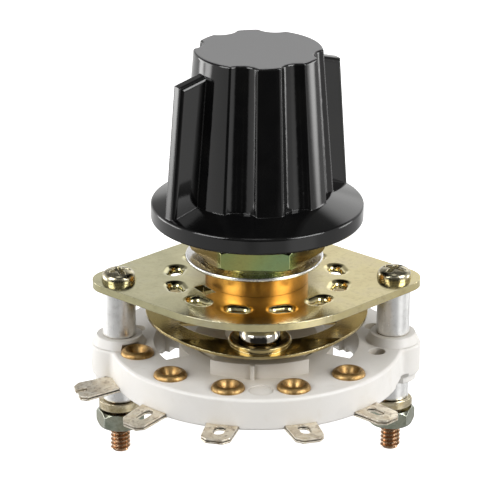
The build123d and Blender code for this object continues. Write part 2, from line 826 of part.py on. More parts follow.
fin_plane = Plane(
    origin=(0, 0, 0),
    x_dir=(cos(radians(fin_angle)), sin(radians(fin_angle)), 0),
    z_dir=(sin(radians(fin_angle)), -cos(radians(fin_angle)), 0),
)
with BuildPart() as fin:
    with BuildSketch(fin_plane.offset(-fin_width / 2)):
        Polygon(
            (fin_inner_r, body_start - body_sink),
            (fin_foot_r, body_start - body_sink),
            (fin_foot_r, body_start),
            (fin_head_r, fin_head_z),
            (body_top_r, fin_root_z),
            (fin_inner_r, fin_root_z),
            align=None,
        )
    extrude(amount=fin_width)
    fin_sides = fin.faces().filter_by(fin_plane)
    fin_rims = fin_sides.edges().filter_by(
        lambda edge: edge.center().Z > body_start
        and hypot(edge.center().X, edge.center().Y) > (body_top_r + fin_head_r) / 2
    )
    fillet(fin_rims, radius=fin_round)

with BuildPart() as skirt:
    with BuildSketch(Plane.XZ):
        with BuildLine():
            Polyline(
                (0, knob_foot),
                (skirt_r, knob_foot),
                (skirt_r, body_start),
                (body_base_r - skirt_lap, skirt_cone_top),
                (0, skirt_cone_top),
                close=True,
            )
        make_face()
    revolve(axis=Axis.Z)
    skirt_edges = skirt.edges().filter_by(GeomType.CIRCLE)
    fillet(skirt_edges.filter_by(lambda edge: edge.radius > skirt_r - thread_gap), radius=rim_round)

with BuildPart() as knob:
    for height, ring_radius in ((body_start - body_sink, body_base_r), (knob_top, body_top_r)):
        growth = ring_radius / body_top_r
        with BuildSketch(Plane.XY.offset(height).rotated((0, 0, fin_angle - fin_lead))) as fluted:
            Circle(ring_radius)
            for first in (fin_lead + flute_step, 180 + fin_lead + flute_step):
                with PolarLocations(flute_ring_r * growth, flutes_a_side, first, flute_reach, endpoint=True):
                    Circle(flute_r * growth, mode=Mode.SUBTRACT)
            fillet(fluted.vertices(), radius=flute_round * growth)
    loft()
    top_rim = knob.faces().sort_by(Axis.Z)[-1].outer_wire().edges()
    fillet(top_rim, radius=knob_round)
    with PolarLocations(0, 2):
        add(fin.part)
    add(skirt.part)
    with BuildSketch(Plane.XY.offset(knob_foot)):
        Circle(knob_recess_r)
    extrude(amount=knob_recess_top - knob_foot, mode=Mode.SUBTRACT)
    with BuildSketch(Plane.XY.offset(knob_recess_top)):
        Circle(insert_r)
    extrude(amount=insert_top - knob_recess_top, mode=Mode.SUBTRACT)
    grub_plane = Plane(
        origin=(0, 0, grub_z),
        x_dir=(0, 0, 1),
        z_dir=(cos(radians(grub_angle)), sin(radians(grub_angle)), 0),
    )
    with BuildSketch(grub_plane):
        Circle(grub_clearance_r)
    extrude(amount=skirt_r, mode=Mode.SUBTRACT)
knob.part.label = "knob"
export_step(knob.part, "parts/knob.step")

with BuildPart() as knob_insert:
    with BuildSketch(Plane.XY.offset(knob_recess_top)):
        Circle(insert_r)
        Circle(shaft_r + thread_gap, mode=Mode.SUBTRACT)
    extrude(amount=insert_top - knob_recess_top)
    with BuildSketch(grub_plane):
        Circle(grub_r + thread_gap)
    extrude(amount=skirt_r, mode=Mode.SUBTRACT)
knob_insert.part.label = "knob_insert"
export_step(knob_insert.part, "parts/knob_insert.step")

with BuildPart() as grub_screw:
    with BuildSketch(grub_plane.offset(shaft_r + thread_gap)):
        Circle(grub_r)
    extrude(amount=grub_outer_r - shaft_r)
    with BuildSketch(grub_plane.offset(grub_outer_r + thread_gap - grub_slot_depth)):
        Rectangle(2 * grub_r, grub_slot_width)
    extrude(amount=grub_slot_depth, mode=Mode.SUBTRACT)
grub_screw.part.label = "grub_screw"
export_step(grub_screw.part, "parts/grub_screw.step")
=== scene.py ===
"""Dresses the rotary selector switch: a finish for every solid, and threads where the solids are plain."""

import logging
import math
from dataclasses import dataclass, field
from enum import Enum
from functools import lru_cache

import bpy
import numpy as np
from mathutils import Matrix, Vector


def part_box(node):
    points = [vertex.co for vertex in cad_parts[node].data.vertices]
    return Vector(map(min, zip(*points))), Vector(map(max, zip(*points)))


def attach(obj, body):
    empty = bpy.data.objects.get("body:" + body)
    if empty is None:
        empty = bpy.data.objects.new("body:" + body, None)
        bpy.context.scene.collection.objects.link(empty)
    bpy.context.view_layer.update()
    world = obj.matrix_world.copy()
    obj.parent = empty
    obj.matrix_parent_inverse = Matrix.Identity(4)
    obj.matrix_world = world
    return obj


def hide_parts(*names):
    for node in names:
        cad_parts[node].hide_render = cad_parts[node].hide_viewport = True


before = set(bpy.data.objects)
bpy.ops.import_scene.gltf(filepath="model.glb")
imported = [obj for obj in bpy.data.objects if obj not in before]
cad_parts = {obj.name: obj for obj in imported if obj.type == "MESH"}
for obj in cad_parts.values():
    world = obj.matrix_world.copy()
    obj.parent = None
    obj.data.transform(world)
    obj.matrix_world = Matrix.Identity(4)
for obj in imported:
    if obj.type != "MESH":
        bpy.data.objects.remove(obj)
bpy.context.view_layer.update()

LOG = logging.getLogger("selector_switch")
MM = 0.001
SHARP_DEGREES = 38.0
BEVEL_SAMPLES = 6
EDGE_LEAN = (0.80, 0.99)
HOLLOW_SAMPLES = 8
HOLLOW_VIEW = (0.15, 0.75)
# Sockets of the Mix node: first, second and result, for plain values and for colours
VALUE_MIX = (2, 3, 0)
COLOUR_MIX = (6, 7, 2)
Span = tuple[float, float]
Triple = tuple[float, float, float]
Colour = Triple
Tints = tuple[Colour, ...]
Socket = bpy.types.NodeSocket


class Body(Enum):
    """The two rigid bodies of the switch."""

    FRAME = "frame"
    ROTOR = "rotor"


class Side(Enum):
    """The two through screws, by the names of their nodes."""

    LEFT = "left"
    RIGHT = "right"


class Grain(Enum):
    """How the fine marks of a surface run, as factors on the three axes."""

    TUMBLED = (1.0, 1.0, 1.0)
    TURNED = (0.06, 0.06, 1.0)
    DRAWN = (1.0, 1.0, 0.06)


def map_range(
    tree: bpy.types.NodeTree, source: Socket, values: Span, over: Span, run: str = "LINEAR"
) -> Socket:
    """Carries a range of grey values over to another range, held at its ends.

    Args:
        tree: the node tree that it is added to.
        source: the grey value.
        values: the values at the start and the end of the range.
        over: the grey values that give them.
        run: how it runs between the ends, as the node names it.

    Returns:
        The value output.
    """
    node = tree.nodes.new("ShaderNodeMapRange")
    node.interpolation_type = run
    for name, value in zip(("From Min", "From Max", "To Min", "To Max"), over + values):
        node.inputs[name].default_value = value
    tree.links.new(source, node.inputs["Value"])
    return node.outputs["Result"]


def mix_values(tree: bpy.types.NodeTree, share: Socket, first: Socket, second: float) -> Socket:
    """Blends a value into a plain one.

    Args:
        tree: the node tree that it is added to.
        share: 0 for the first and 1 for the second.
        first: an output that gives a value.
        second: a plain value.

    Returns:
        The value output.
    """
    first_socket, second_socket, result = VALUE_MIX
    node = tree.nodes.new("ShaderNodeMix")
    tree.links.new(share, node.inputs["Factor"])
    tree.links.new(first, node.inputs[first_socket])
    node.inputs[second_socket].default_value = second
    return node.outputs[result]


class NodeDesk:
    """One node material, put together step by step."""

    def __init__(self, name: str) -> None:
        """Starts a material with a bare surface shader.

        Args:
            name: the material's name.
        """
        self.material = bpy.data.materials.new(name)
        self.material.use_nodes = True
        self.tree = self.material.node_tree
        self.tree.nodes.clear()
        self.shader = self.tree.nodes.new("ShaderNodeBsdfPrincipled")
        output = self.tree.nodes.new("ShaderNodeOutputMaterial")
        self.link(self.shader.outputs[0], output.inputs["Surface"])

    def link(self, source: Socket, target: Socket) -> None:
        """Joins an output to an input."""
        self.tree.links.new(source, target)

    def set(self, **values: float | tuple) -> None:
        """Sets plain values on the shader's own sockets, with underscores for the spaces in their names.

        Args:
            values: socket name to value.
        """
        for key, value in values.items():
            self.shader.inputs[key.replace("_", " ")].default_value = value

    def feed(self, socket: str, source: Socket) -> None:
        """Links a node's output to a socket of the shader."""
        self.link(source, self.shader.inputs[socket])

    def millimetres(self, stretch: Triple = (1.0, 1.0, 1.0)) -> Socket:
        """Object coordinates counted in millimetres.

        Args:
            stretch: factors on the three axes, under one for marks drawn out along an axis.

        Returns:
            The vector output.
        """
        coordinates = self.tree.nodes.new("ShaderNodeTexCoord")
        mapping = self.tree.nodes.new("ShaderNodeMapping")
        mapping.inputs["Scale"].default_value = tuple(s / MM for s in stretch)
        self.link(coordinates.outputs["Object"], mapping.inputs["Vector"])
        return mapping.outputs["Vector"]

    def along(self, axis: str) -> Socket:
        """The place along one axis of the switch in millimetres."""
        split = self.tree.nodes.new("ShaderNodeSeparateXYZ")
        self.link(self.millimetres(), split.inputs["Vector"])
        return split.outputs[axis]

    def noise(self, vector: Socket, size: float, detail: float = 3.0) -> Socket:
        """Cloudy noise.

        Args:
            vector: the coordinates it is read at.
            size: the width of a blotch in the units of those coordinates.
            detail: how many finer layers are added.

        Returns:
            The grey output.
        """
        node = self.tree.nodes.new("ShaderNodeTexNoise")
        node.inputs["Scale"].default_value = 1.0 / size
        node.inputs["Detail"].default_value = detail
        self.link(vector, node.inputs["Vector"])
        return node.outputs["Fac"]

    def ramp(self, source: Socket, tints: Tints, over: Span = (0.35, 0.65)) -> Socket:
        """Colours a grey value by evenly spaced tints.

        Args:
            source: the grey value.
            tints: the colours in order.
            over: the grey values of the first and the last colour.

        Returns:
            The colour output.
        """
        node = self.tree.nodes.new("ShaderNodeValToRGB")
        elements = node.color_ramp.elements
        while len(elements) < len(tints):
            elements.new(0.5)
        for element, place, colour in zip(elements, np.linspace(*over, len(tints)), tints):
            element.position = place
            element.color = (*colour, 1.0)
        self.link(source, node.inputs["Fac"])
        return node.outputs["Color"]

    def spread(self, source: Socket, values: Span, over: Span = (0.3, 0.7)) -> Socket:
        """Carries a range of grey values, by default the middle of a noise, over to another range."""
        return map_range(self.tree, source, values, over)

    def times(self, first: Socket, second: Socket) -> Socket:
        """The product of two values."""
        node = self.tree.nodes.new("ShaderNodeMath")
        node.operation = "MULTIPLY"
        self.link(first, node.inputs[0])
        self.link(second, node.inputs[1])
        return node.outputs[0]

    def mix(self, share: Socket, first: Socket | Colour, second: Socket | Colour) -> Socket:
        """Blends two colours.

        Args:
            share: 0 for the first and 1 for the second.
            first: a colour or an output that gives one.
            second: a colour or an output that gives one.

        Returns:
            The colour output.
        """
        first_socket, second_socket, result = COLOUR_MIX
        node = self.tree.nodes.new("ShaderNodeMix")
        node.data_type = "RGBA"
        self.link(share, node.inputs["Factor"])
        for socket, value in ((first_socket, first), (second_socket, second)):
            if isinstance(value, tuple):
                node.inputs[socket].default_value = (*value, 1.0)
            else:
                self.link(value, node.inputs[socket])
        return node.outputs[result]

    def rounding(self, radius_mm: float) -> Socket:
        """The surface normal with its edges rounded over by a small radius."""
        node = self.tree.nodes.new("ShaderNodeBevel")
        node.samples = BEVEL_SAMPLES
        node.inputs["Radius"].default_value = radius_mm * MM
        return node.outputs["Normal"]

    def edges(self, radius_mm: float) -> Socket:
        """Finds edges by how far the rounded normal leans from the plain one.

        Args:
            radius_mm: how far in from an edge it is felt.

        Returns:
            A grey value, 0 on open faces and 1 on edges.
        """
        lean = self.tree.nodes.new("ShaderNodeVectorMath")
        lean.operation = "DOT_PRODUCT"
        self.link(self.rounding(radius_mm), lean.inputs[0])
        self.link(self.tree.nodes.new("ShaderNodeNewGeometry").outputs["Normal"], lean.inputs[1])
        return self.spread(lean.outputs["Value"], (1.0, 0.0), over=EDGE_LEAN)

    def hollows(self, reach_mm: float) -> Socket:
        """Finds hollows, the mask of the painted shade, by how much of the view out from the surface is
        shut off close by.

        Args:
            reach_mm: how far out other surfaces count.

        Returns:
            A grey value, 0 in the open and 1 deep in a hollow.
        """
        node = self.tree.nodes.new("ShaderNodeAmbientOcclusion")
        node.samples = HOLLOW_SAMPLES
        node.inputs["Distance"].default_value = reach_mm * MM
        return self.spread(node.outputs["AO"], (1.0, 0.0), over=HOLLOW_VIEW)

    def bump(self, height: Socket, depth_mm: float, normal: Socket | None = None) -> None:
        """Raises the surface by a grey value.

        Args:
            height: the grey value.
            depth_mm: the rise from dark to light in millimetres.
            normal: a normal to start from, in place of the plain one.
        """
        node = self.tree.nodes.new("ShaderNodeBump")
        node.inputs["Strength"].default_value = 1.0
        node.inputs["Distance"].default_value = depth_mm * MM
        self.link(height, node.inputs["Height"])
        if normal is not None:
            self.link(normal, node.inputs["Normal"])
        self.feed("Normal", node.outputs["Normal"])


@dataclass(frozen=True)
class Metal:
    """A bare or plated metal with soft patches of tint, fine marks, specks of tarnish and worn edges.

    Other tints can take over along an axis, between two places in millimetres. The tarnish colour also
    fills the hollows, as painted shade.
    """

    name: str
    tints: Tints
    roughness: Span
    worn: Colour
    # specks of real tarnish, and also the colour of the painted shade in the hollows
    tarnish_and_shade: Colour
    other_tints: Tints = ()
    other_axis: str = "Z"
    other_span: Span = (0.0, 1.0)
    patch_mm: float = 6.0
    patch_detail: float = 3.0
    grain: Grain = Grain.TUMBLED
    grain_mm: float = 0.25
    grain_detail: float = 4.0
    depth_mm: float = 0.002
    edge_mm: float = 0.12
    wear_share: Span = (0.35, 1.0)
    speck_mm: float = 0.7
    speck_detail: float = 5.0
    speck_over: Span = (0.52, 0.72)
    speck_share: float = 0.35
    # reach of the painted shade in the hollows; 0 leaves it out
    shade_reach_mm: float = 0.0

    def build(self) -> bpy.types.Material:
        """Makes the node material."""
        desk = NodeDesk(self.name)
        desk.set(Metallic=1.0)
        patches = desk.noise(desk.millimetres(), self.patch_mm, self.patch_detail)
        colour = desk.ramp(patches, self.tints)
        # a second set of tints along an axis: a real second colour on the screw, painted light and shade on
        # the plate and the nut
        if self.other_tints:
            share = desk.spread(desk.along(self.other_axis), (0.0, 1.0), over=self.other_span)
            colour = desk.mix(share, colour, desk.ramp(patches, self.other_tints))
        dots = desk.noise(desk.millimetres(), self.speck_mm, self.speck_detail)
        specks = desk.spread(dots, (0.0, self.speck_share), over=self.speck_over)
        colour = desk.mix(specks, colour, self.tarnish_and_shade)
        # painted shade: the hollows darken towards the tarnish colour by ambient occlusion
        if self.shade_reach_mm:
            colour = desk.mix(desk.hollows(self.shade_reach_mm), colour, self.tarnish_and_shade)
        marks = desk.noise(desk.millimetres(self.grain.value), self.grain_mm, self.grain_detail)
        wear = desk.times(desk.edges(self.edge_mm), desk.spread(marks, self.wear_share))
        desk.feed("Base Color", desk.mix(wear, colour, self.worn))
        desk.feed("Roughness", desk.spread(marks, self.roughness))
        desk.bump(marks, self.depth_mm, desk.rounding(self.edge_mm))
        return desk.material


@dataclass(frozen=True)
class Ceramic:
    """Fired ceramic with a faint mottle and a fine grain, grimy in places, with painted shade in its
    hollows.
    """

    name: str
    tints: Tints
    roughness: Span
    grime: Colour
    # colour of the painted shade in the hollows
    painted_shade: Colour
    refraction: float = 1.5
    glow: float = 0.08
    glow_mm: float = 0.6
    glow_reach: Colour = (1.0, 0.9, 0.8)
    patch_mm: float = 9.0
    patch_detail: float = 4.0
    grime_mm: float = 2.25
    grime_detail: float = 6.0
    grime_over: Span = (0.60, 0.78)
    grime_share: float = 0.5
    grain_mm: float = 0.35
    depth_mm: float = 0.008
    edge_mm: float = 0.2
    # reach of the painted shade in the hollows
    shade_reach_mm: float = 8.0

    def build(self) -> bpy.types.Material:
        """Makes the node material."""
        desk = NodeDesk(self.name)
        desk.set(IOR=self.refraction, Subsurface_Weight=self.glow)
        desk.set(Subsurface_Scale=self.glow_mm * MM, Subsurface_Radius=self.glow_reach)
        patches = desk.noise(desk.millimetres(), self.patch_mm, self.patch_detail)
        colour = desk.ramp(patches, self.tints)
        dots = desk.noise(desk.millimetres(), self.grime_mm, self.grime_detail)
        grime = desk.spread(dots, (0.0, self.grime_share), over=self.grime_over)
        colour = desk.mix(grime, colour, self.grime)
        # painted shade: the hollows darken towards the painted shade colour by ambient occlusion
        desk.feed("Base Color", desk.mix(desk.hollows(self.shade_reach_mm), colour, self.painted_shade))
        marks = desk.noise(desk.millimetres(), self.grain_mm)
        desk.feed("Roughness", desk.spread(marks, self.roughness))
        desk.bump(marks, self.depth_mm, desk.rounding(self.edge_mm))
        return desk.material


@dataclass(frozen=True)
class KnobPlastic:
    """Black moulded plastic, glossy on its sides, that turns over a span of heights to a satin top whose
    grey is a painted sheen.
    """

    name: str
    tints: Tints
    gloss: Span
    # grey painted sheen on the top face
    painted_sheen: Colour
    satin_roughness: float
    satin_span: Span
    refraction: float = 1.52
    patch_mm: float = 5.0
    ripple_mm: float = 2.4
    depth_mm: float = 0.003
    edge_mm: float = 0.2

    def build(self) -> bpy.types.Material:
        """Makes the node material."""
        desk = NodeDesk(self.name)
        desk.set(IOR=self.refraction)
        patches = desk.noise(desk.millimetres(), self.patch_mm)
        black = desk.ramp(patches, self.tints)
        top = desk.spread(desk.along("Z"), (0.0, 1.0), over=self.satin_span)
        # painted sheen: the top's base colour turns grey in place of black
        desk.feed("Base Color", desk.mix(top, black, self.painted_sheen))
        gloss = desk.spread(patches, self.gloss)
        desk.feed("Roughness", mix_values(desk.tree, top, gloss, self.satin_roughness))
        ripple = desk.noise(desk.millimetres(), self.ripple_mm)
        desk.bump(ripple, self.depth_mm, desk.rounding(self.edge_mm))
        return desk.material


Finish = Metal | Ceramic | KnobPlastic

PLATE_ZINC = Metal(
    name="plate_yellow_zinc",
    tints=((0.43, 0.41, 0.24), (0.51, 0.48, 0.29), (0.47, 0.45, 0.3)),
    roughness=(0.11, 0.17),
    worn=(0.8, 0.77, 0.62),
    tarnish_and_shade=(0.22, 0.17, 0.07),
    # painted light and shade: darker tints on the left (-X), brighter tints on the right (+X)
    other_tints=((0.68, 0.58, 0.31), (0.74, 0.65, 0.35), (0.7, 0.61, 0.37)),
    other_axis="X",
    other_span=(-14.0, 10.0),
    patch_mm=7.0,
    speck_share=0.18,
    # painted shade round the bushing's foot, in the tarnish colour
    shade_reach_mm=4.0,
)
NUT_ZINC = Metal(
    name="nut_yellow_zinc",
    tints=((0.48, 0.43, 0.14), (0.37, 0.45, 0.17), (0.31, 0.44, 0.21)),
    roughness=(0.1, 0.18),
    worn=(0.9, 0.8, 0.48),
    tarnish_and_shade=(0.24, 0.17, 0.05),
    # painted shade: darker brown tints on the nut's faces behind the front face (Y above -6.8)
    other_tints=((0.22, 0.15, 0.045), (0.28, 0.2, 0.06), (0.25, 0.18, 0.055)),
    other_axis="Y",
    other_span=(-8.4, -6.8),
    patch_mm=10.0,
    patch_detail=1.0,
    speck_share=0.15,
)
WASHER_STEEL = Metal(
    name="washer_bright_steel",
    tints=((0.8, 0.8, 0.8), (0.88, 0.88, 0.88), (0.84, 0.84, 0.84)),
    roughness=(0.2, 0.28),
    worn=(0.94, 0.94, 0.93),
    tarnish_and_shade=(0.55, 0.5, 0.42),
    edge_mm=0.2,
    speck_mm=0.35,
    speck_share=0.15,
)
BUSHING_BRASS = Metal(
    name="bushing_brass",
    tints=((0.56, 0.28, 0.065), (0.66, 0.35, 0.085), (0.6, 0.31, 0.075)),
    roughness=(0.28, 0.38),
    worn=(0.86, 0.58, 0.26),
    tarnish_and_shade=(0.42, 0.19, 0.04),
    patch_mm=5.0,
    grain=Grain.TURNED,
    grain_mm=0.3,
    depth_mm=0.0008,
    speck_mm=0.4,
)
SPRING_BRASS = Metal(
    name="spring_brass",
    tints=((0.34, 0.26, 0.11), (0.42, 0.33, 0.15), (0.38, 0.31, 0.16)),
    roughness=(0.14, 0.24),
    worn=(0.78, 0.68, 0.44),
    tarnish_and_shade=(0.24, 0.17, 0.07),
    patch_mm=6.0,
)
EYELET_BRASS = Metal(
    name="eyelet_brass",
    tints=((0.34, 0.205, 0.075), (0.47, 0.31, 0.13), (0.4, 0.25, 0.1)),
    roughness=(0.36, 0.52),
    worn=(0.6, 0.44, 0.22),
    tarnish_and_shade=(0.15, 0.075, 0.025),
    patch_mm=1.2,
    speck_mm=0.5,
    speck_share=0.65,
    grain_mm=0.4,
    depth_mm=0.03,
)
LUG_SILVER = Metal(
    name="lug_silvered_brass",
    tints=((0.7, 0.62, 0.49), (0.87, 0.81, 0.69), (0.76, 0.67, 0.52)),
    roughness=(0.26, 0.46),
    worn=(0.9, 0.86, 0.78),
    tarnish_and_shade=(0.3, 0.22, 0.14),
    patch_mm=2.0,
    grain_mm=0.5,
    depth_mm=0.03,
    edge_mm=0.08,
    speck_share=0.75,
)
TUBE_ALUMINIUM = Metal(
    name="tube_aluminium",
    tints=((0.86, 0.86, 0.85), (0.94, 0.94, 0.93), (0.9, 0.9, 0.89)),
    roughness=(0.26, 0.4),
    worn=(0.95, 0.95, 0.94),
    tarnish_and_shade=(0.62, 0.61, 0.58),
    patch_mm=3.0,
    grain=Grain.DRAWN,
    grain_mm=0.1,
)
SCREW_PLATED = Metal(
    name="screw_olive_and_copper",
    tints=((0.36, 0.21, 0.11), (0.48, 0.3, 0.18), (0.42, 0.25, 0.14)),
    roughness=(0.16, 0.28),
    worn=(0.86, 0.76, 0.6),
    tarnish_and_shade=(0.2, 0.1, 0.05),
    other_tints=((0.4, 0.37, 0.25), (0.52, 0.48, 0.35), (0.46, 0.41, 0.27)),
    other_axis="Z",
    other_span=(-8.0, -6.0),
    patch_mm=2.0,
    edge_mm=0.08,
)
LOCK_OLIVE = Metal(
    name="lock_washer_olive_zinc",
    tints=((0.42, 0.35, 0.2), (0.62, 0.55, 0.39), (0.52, 0.42, 0.23)),
    roughness=(0.16, 0.28),
    worn=(0.86, 0.8, 0.64),
    tarnish_and_shade=(0.24, 0.17, 0.08),
    patch_mm=2.0,
)
NUT_GREY = Metal(
    name="stand_nut_grey_zinc",
    tints=((0.24, 0.27, 0.21), (0.34, 0.36, 0.29), (0.29, 0.29, 0.21)),
    roughness=(0.14, 0.26),
    worn=(0.8, 0.81, 0.74),
    tarnish_and_shade=(0.16, 0.15, 0.09),
    patch_mm=2.5,
    edge_mm=0.14,
)
BALL_STEEL = Metal(
    name="ball_polished_steel",
    tints=((0.36, 0.33, 0.28), (0.43, 0.4, 0.35), (0.4, 0.37, 0.31)),
    roughness=(0.05, 0.09),
    worn=(0.36, 0.35, 0.33),
    tarnish_and_shade=(0.2, 0.17, 0.13),
    patch_mm=3.0,
    depth_mm=0.0003,
)
INNER_STEEL = Metal(
    name="inner_zinc_steel",
    tints=((0.5, 0.48, 0.44), (0.58, 0.56, 0.52), (0.54, 0.51, 0.46)),
    roughness=(0.24, 0.38),
    worn=(0.78, 0.77, 0.74),
    tarnish_and_shade=(0.36, 0.32, 0.24),
)
WAFER_WHITE = Ceramic(
    name="wafer_white_ceramic",
    tints=((0.72, 0.7, 0.665), (0.76, 0.74, 0.71), (0.74, 0.72, 0.685)),
    roughness=(0.34, 0.48),
    grime=(0.66, 0.62, 0.55),
    painted_shade=(0.44, 0.39, 0.31),
)
ROTOR_CREAM = Ceramic(
    name="rotor_cream_ceramic",
    tints=((0.66, 0.6, 0.48), (0.72, 0.66, 0.54), (0.69, 0.62, 0.49)),
    roughness=(0.45, 0.6),
    grime=(0.48, 0.4, 0.28),
    painted_shade=(0.34, 0.28, 0.19),
)
KNOB_BLACK = KnobPlastic(
    name="knob_black_gloss",
    tints=((0.002, 0.002, 0.0021), (0.0028, 0.0028, 0.0029), (0.0036, 0.0035, 0.0034)),
    gloss=(0.06, 0.1),
    painted_sheen=(0.185, 0.185, 0.187),
    satin_roughness=0.45,
    satin_span=(31.52, 31.59),
)


@lru_cache(maxsize=None)
def material_of(finish: Finish) -> bpy.types.Material:
    """The node material of a finish, made once."""
    return finish.build()


def dress(finish: Finish, *nodes: str) -> None:
    """Gives CAD nodes a finish.

    Args:
        finish: the finish.
        nodes: the nodes' names.
    """
    for name in nodes:
        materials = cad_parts[name].data.materials
        materials.clear()
        materials.append(material_of(finish))
        LOG.info("dressed %s as %s", name, finish.name)


def lay_mesh(name: str, points: np.ndarray, looped: bool = False) -> bpy.types.Mesh:
    """Lays a closed mesh over a grid of points whose columns run right round an axis.

    Every four neighbours of the grid make a quad. The rows either join up into a loop, or the first and
    the last row are closed by a fan to their middle point.

    Args:
        name: the mesh's name.
        points: rows by columns by three, in metres, the rows running outward and down on the outside.
        looped: whether the last row joins the first.

    Returns:
        The mesh, smooth but for its sharp corners.
    """
    rows, columns = points.shape[:2]
    index = np.arange(rows * columns).reshape(rows, columns)
    below = np.roll(index, -1, axis=0) if looped else index[1:]
    here = index if looped else index[:-1]
    corners = points.reshape(-1, 3)
    quads = np.stack([here, below, np.roll(below, -1, axis=1), np.roll(here, -1, axis=1)], axis=-1)
    faces = quads.reshape(-1, 4).tolist()
    if not looped:
        corners = np.vstack([corners, points[0].mean(axis=0), points[-1].mean(axis=0)])
        first, last = index[0], index[-1]
        ends = np.full(columns, rows * columns)
        faces += np.stack([ends, first, np.roll(first, -1)], axis=-1).tolist()
        faces += np.stack([ends + 1, np.roll(last, -1), last], axis=-1).tolist()
    mesh = bpy.data.meshes.new(name)
    mesh.from_pydata(corners.tolist(), [], faces)
    mesh.polygons.foreach_set("use_smooth", np.ones(len(faces), dtype=bool))
    mesh.set_sharp_from_angle(angle=math.radians(SHARP_DEGREES))
    mesh.update()
    return mesh


def place(mesh: bpy.types.Mesh, body: Body, slot: str, finish: Finish, node: str) -> None:
    """Puts a new piece into the scene in place of a CAD node.

    Args:
        mesh: its mesh.
        body: the body that it rides on.
        slot: not used.
        finish: its finish.
        node: the CAD node that it stands for.
    """
    piece = bpy.data.objects.new(mesh.name, mesh)
    bpy.context.scene.collection.objects.link(piece)
    mesh.materials.append(material_of(finish))
    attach(piece, body.value)
    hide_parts(node)
    LOG.info("built %s in place of %s, %d faces", mesh.name, node, len(mesh.polygons))


@dataclass(frozen=True)
class Thread:
    """A right-handed screw thread."""

    pitch: float
    depth: float
    flat: float = 0.2

    def cut(self, height: np.ndarray, angle: np.ndarray) -> np.ndarray:
        """How deep the thread is cut at points of a cylinder.

        The phase is the height in pitches less the angle in turns, so it is the same all along a helix.
        The cut rises in a straight flank from nothing on the crest to the full depth at the root half a
        pitch away, with both ends flattened.

        Args:
            height: heights in the units of the pitch.
            angle: angles in radians.

        Returns:
            The depth of the cut below the crest.
        """
        phase = (height / self.pitch - angle / math.tau) % 1.0
        flank = np.abs(2.0 * phase - 1.0)
        return self.depth * np.clip((flank - self.flat) / (1.0 - 2.0 * self.flat), 0.0, 1.0)


def ease(value: np.ndarray, start: float, end: float) -> np.ndarray:
    """A smooth step from 0 at start to 1 at end, three squares less two cubes of the share of the way."""
    share = np.clip((value - start) / (end - start), 0.0, 1.0)
    return share * share * (3.0 - 2.0 * share)


@dataclass
class PanelMount:
    """The plate, its threaded bushing, and the washer and nut that clamp a panel. Sizes in millimetres."""

    columns: int = 144
    thread: Thread = Thread(pitch=0.75, depth=0.42)
    thread_start: float = 0.7
    run_out: float = 0.4
    neck_chamfer: float = 0.5
    shoulder_round: float = 0.25
    rim_rows: int = 6
    rows_per_pitch: int = 12
    neck_r: float = 5.0
    bore_r: float = 3.05
    spigot_r: float = 5.6
    foot_r: float = 6.3
    foot_h: float = 0.7
    plate_t: float = 1.1

    def build(self) -> None:
        """Builds the threaded bushing and dresses the rest."""
        place(self.bushing(), Body.FRAME, "bushing_brass", BUSHING_BRASS, "bushing")
        dress(PLATE_ZINC, "mounting_plate")
        dress(WASHER_STEEL, "panel_washer")
        dress(NUT_ZINC, "panel_nut")

    def bushing(self) -> bpy.types.Mesh:
        """Turns the bushing's profile about the shaft and cuts the thread into its neck.

        The profile goes up the bore, out over the neck's chamfered end, down the neck in even steps, out
        over the shoulder's rounded rim, and down the spigot and foot. A point of the neck is drawn in by
        the thread's cut, eased to nothing above the shoulder.

        Returns:
            The mesh.
        """
        low, high = (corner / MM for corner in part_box("bushing"))
        shoulder_r, top, foot = high.x, high.z, low.z
        under = foot + self.foot_h
        plate_top = under + self.plate_t
        steps = int((top - self.neck_chamfer) / self.thread.pitch * self.rows_per_pitch)
        neck_z = np.linspace(top - self.neck_chamfer, 0.0, steps)
        turn = np.linspace(0.0, math.pi / 2, self.rim_rows)
        rim = self.shoulder_round
        profile = np.vstack(
            [
                [(self.bore_r, foot), (self.bore_r, top), (self.neck_r - self.neck_chamfer, top)],
                np.stack([np.full(steps, self.neck_r), neck_z], axis=1),
                np.stack([shoulder_r - rim + rim * np.sin(turn), rim * np.cos(turn) - rim], axis=1),
                [(shoulder_r, plate_top), (self.spigot_r, plate_top), (self.spigot_r, under)],
                [(self.foot_r, under), (self.foot_r, foot)],
            ]
        )
        radius, height = profile[:, :1], profile[:, 1:]
        angle = np.linspace(0.0, math.tau, self.columns, endpoint=False)[None, :]
        is_neck = (radius == self.neck_r) & (height > 0.0)
        fade = ease(height, self.thread_start, self.thread_start + self.run_out)
        radius = radius - np.where(is_neck, fade * self.thread.cut(height, angle), 0.0)
        points = np.stack([radius * np.cos(angle), radius * np.sin(angle), height + 0.0 * angle], axis=-1)
        return lay_mesh("bushing_threaded", points * MM, looped=True)


